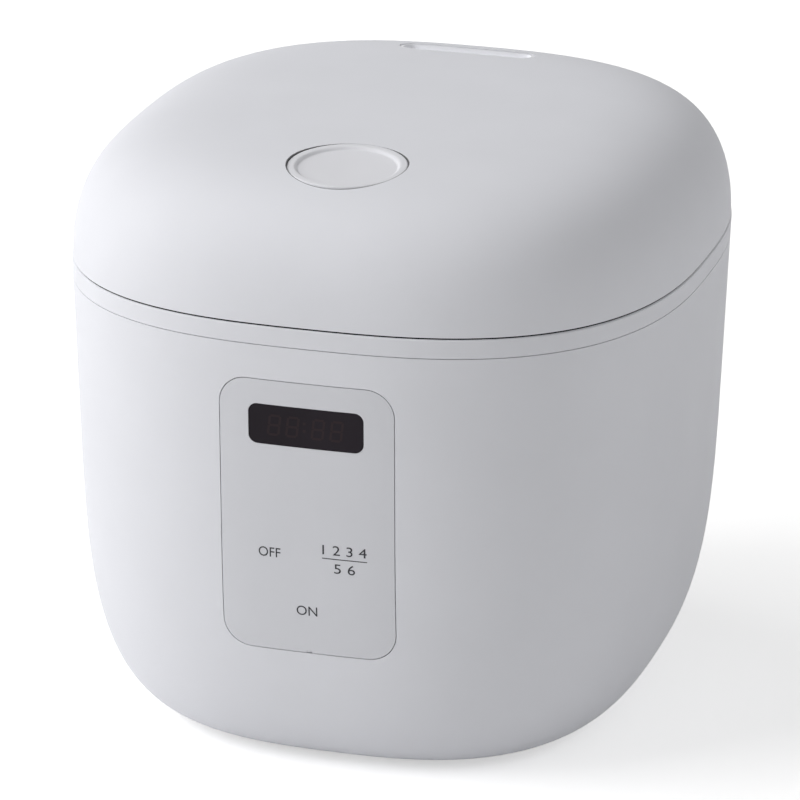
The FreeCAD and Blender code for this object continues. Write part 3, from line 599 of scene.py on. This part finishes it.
def pot_marks():
    for i in range(POT_LEVELS):
        z = POT_FIRST_LEVEL + POT_LEVEL_STEP * i
        pot_line("pot_line_%d" % (i + 1), z, POT_LINE_LENGTH)
        pot_line("pot_half_line_%d" % (i + 1), z + POT_LEVEL_STEP / 2, POT_LINE_LENGTH / 2)
        pot_number("pot_number_%d" % (i + 1), str(i + 1), POT_LINE_LENGTH / 2 + POT_NUMBER, z)


# Digits, nub and printed marks on the panel

def bar(points, faces, x0, x1, z0, z1):
    first = len(points)
    points += [(x0, z0), (x1, z0), (x1, z1), (x0, z1)]
    faces.append((first, first + 1, first + 2, first + 3))


def segment_digit(points, faces, x, z):
    gap = DIGIT_STROKE * DIGIT_GAP
    inset = DIGIT_STROKE * DIGIT_INSET + gap
    half = DIGIT_HEIGHT / 2
    start = len(points)
    for level in (0, half - DIGIT_STROKE / 2, DIGIT_HEIGHT - DIGIT_STROKE):
        bar(points, faces, x + inset, x + DIGIT_WIDTH - inset, z + level, z + level + DIGIT_STROKE)
    for side in (x, x + DIGIT_WIDTH - DIGIT_STROKE):
        for low in (z + DIGIT_STROKE / 2 + gap, z + half + gap):
            bar(points, faces, side, side + DIGIT_STROKE, low, low + half - DIGIT_STROKE / 2 - 2 * gap)
    for i in range(start, len(points)):
        px, pz = points[i]
        points[i] = (px + (pz - z) * DIGIT_LEAN, pz)


def display_segments():
    points = []
    faces = []
    z = (WINDOW_LOW + WINDOW_HIGH) / 2 - DIGIT_HEIGHT / 2
    for x in DIGIT_PLACES:
        segment_digit(points, faces, x, z)
    for level in COLON_LEVELS:
        low = z + DIGIT_HEIGHT * level
        bar(points, faces, COLON_LEFT, COLON_LEFT + COLON_SIZE, low, low + COLON_SIZE)
    front_piece("display_segments", points, faces, DIGIT_LIFT, segment_dark)


def panel_nub():
    points = [(0.0, NUB_Z)]
    faces = []
    for i in range(NUB_STEPS + 1):
        turn = math.pi * i / NUB_STEPS
        points.append((NUB_RADIUS * math.cos(turn), NUB_Z + NUB_RADIUS * math.sin(turn)))
    for i in range(1, NUB_STEPS + 1):
        faces.append((0, i, i + 1))
    front_piece("panel_nub", points, faces, NUB_LIFT, panel_white)


def word(name, text, centre, width):
    points, faces = letters(text, centre, MARK_HEIGHT, width)
    front_piece(name, points, faces, MARK_LIFT, mark_ink)


def rule():
    points = []
    faces = []
    left, low = RIGHT_KEY[0] - RULE_WIDTH / 2, RIGHT_KEY[1]
    for i in range(RULE_STEPS):
        x0 = left + RULE_WIDTH * i / RULE_STEPS
        bar(points, faces, x0, x0 + RULE_WIDTH / RULE_STEPS, low, low + RULE_HEIGHT)
    front_piece("key_rule", points, faces, MARK_LIFT, mark_ink)


seam_shade_strip()
button_gap_shade()
pot_marks()
display_segments()
panel_nub()
word("mark_off", "OFF", LEFT_KEY, OFF_WIDTH)
word("mark_numbers", "1 2 3 4", (RIGHT_KEY[0], RIGHT_KEY[1] + NUMBERS_FROM_RULE), UPPER_NUMBERS_WIDTH)
rule()
word("mark_more_numbers", "5 6", (RIGHT_KEY[0], RIGHT_KEY[1] - NUMBERS_FROM_RULE), LOWER_NUMBERS_WIDTH)
word("mark_on", "ON", START_KEY, ON_WIDTH)


# Floor, light and camera

def background_rays(tree):
    path = tree.nodes.new("ShaderNodeLightPath")
    seen = tree.nodes.new("ShaderNodeMath")
    seen.operation = "MAXIMUM"
    shown = tree.nodes.new("ShaderNodeMath")
    shown.operation = "MAXIMUM"
    tree.links.new(path.outputs["Is Camera Ray"], seen.inputs[0])
    tree.links.new(path.outputs["Is Transmission Ray"], seen.inputs[1])
    tree.links.new(path.outputs["Is Glossy Ray"], shown.inputs[0])
    tree.links.new(seen.outputs["Value"], shown.inputs[1])
    return shown.outputs["Value"]


def floor_material():
    material, tree, shader = new_material("pale_floor")
    shader.inputs["Base Color"].default_value = (FLOOR_GREY, FLOOR_GREY, FLOOR_GREY, 1)
    shader.inputs["Roughness"].default_value = FLOOR_ROUGH
    place = tree.nodes.new("ShaderNodeTexCoord")
    away = tree.nodes.new("ShaderNodeVectorMath")
    away.operation = "LENGTH"
    level = tree.nodes.new("ShaderNodeMapRange")
    level.inputs["From Min"].default_value = FLOOR_NEAR
    level.inputs["From Max"].default_value = FLOOR_FAR
    level.inputs["To Min"].default_value = FLOOR_GLOW
    level.inputs["To Max"].default_value = 1.0
    strength = tree.nodes.new("ShaderNodeMath")
    strength.operation = "MULTIPLY"
    glow = tree.nodes.new("ShaderNodeEmission")
    both = tree.nodes.new("ShaderNodeAddShader")
    tree.links.new(place.outputs["Object"], away.inputs[0])
    tree.links.new(away.outputs["Value"], level.inputs["Value"])
    tree.links.new(background_rays(tree), strength.inputs[0])
    tree.links.new(level.outputs["Result"], strength.inputs[1])
    tree.links.new(strength.outputs["Value"], glow.inputs["Strength"])
    tree.links.new(shader.outputs["BSDF"], both.inputs[0])
    tree.links.new(glow.outputs["Emission"], both.inputs[1])
    tree.links.new(both.outputs["Shader"], tree.nodes["Material Output"].inputs["Surface"])
    return material


def pale_floor():
    corners = [(-FLOOR_REACH, -FLOOR_REACH, 0), (FLOOR_REACH, -FLOOR_REACH, 0),
               (FLOOR_REACH, FLOOR_REACH, 0), (-FLOOR_REACH, FLOOR_REACH, 0)]
    mesh = bpy.data.meshes.new("floor")
    mesh.from_pydata(corners, [], [(0, 1, 2, 3)])
    floor = linked("floor", mesh)
    floor.data.materials.append(floor_material())


def soft_world():
    world = bpy.data.worlds.new("studio")
    bpy.context.scene.world = world
    world.use_nodes = True
    tree = world.node_tree
    background = tree.nodes["Background"]
    background.inputs["Color"].default_value = (1, 1, 1, 1)
    level = spread(tree, background_rays(tree), WORLD_LEVEL, 1.0)
    tree.links.new(level, background.inputs["Strength"])


def soft_box(name, azimuth, elevation, power):
    data = bpy.data.lights.new(name, "AREA")
    data.shape = "SQUARE"
    data.size = LAMP_SIZE
    data.energy = power
    lamp = linked(name, data)
    way = direction(azimuth, elevation)
    lamp.location = CAMERA_AIM + way * LAMP_DISTANCE
    lamp.rotation_euler = (-way).to_track_quat("-Z", "Y").to_euler()


def photo_camera():
    data = bpy.data.cameras.new("camera")
    data.sensor_width = CAMERA_FILM
    data.lens = CAMERA_LENS
    data.shift_x, data.shift_y = CAMERA_SHIFT
    data.clip_start, data.clip_end = CAMERA_CLIP
    camera = linked("camera", data)
    turn = math.radians(CAMERA_AZIMUTH)
    roll = math.radians(CAMERA_ROLL)
    back = direction(CAMERA_AZIMUTH, CAMERA_ELEVATION)
    right = Vector((math.cos(turn), math.sin(turn), 0))
    up = back.cross(right)
    turned_right = right * math.cos(roll) + up * math.sin(roll)
    turned_up = up * math.cos(roll) - right * math.sin(roll)
    matrix = Matrix((turned_right, turned_up, back)).transposed().to_4x4()
    matrix.translation = CAMERA_AIM + back * CAMERA_DISTANCE
    camera.matrix_world = matrix
    bpy.context.scene.camera = camera


pale_floor()
soft_world()
for lamp in LAMPS:
    soft_box(*lamp)
photo_camera()
bpy.context.scene.view_settings.view_transform = "Standard"
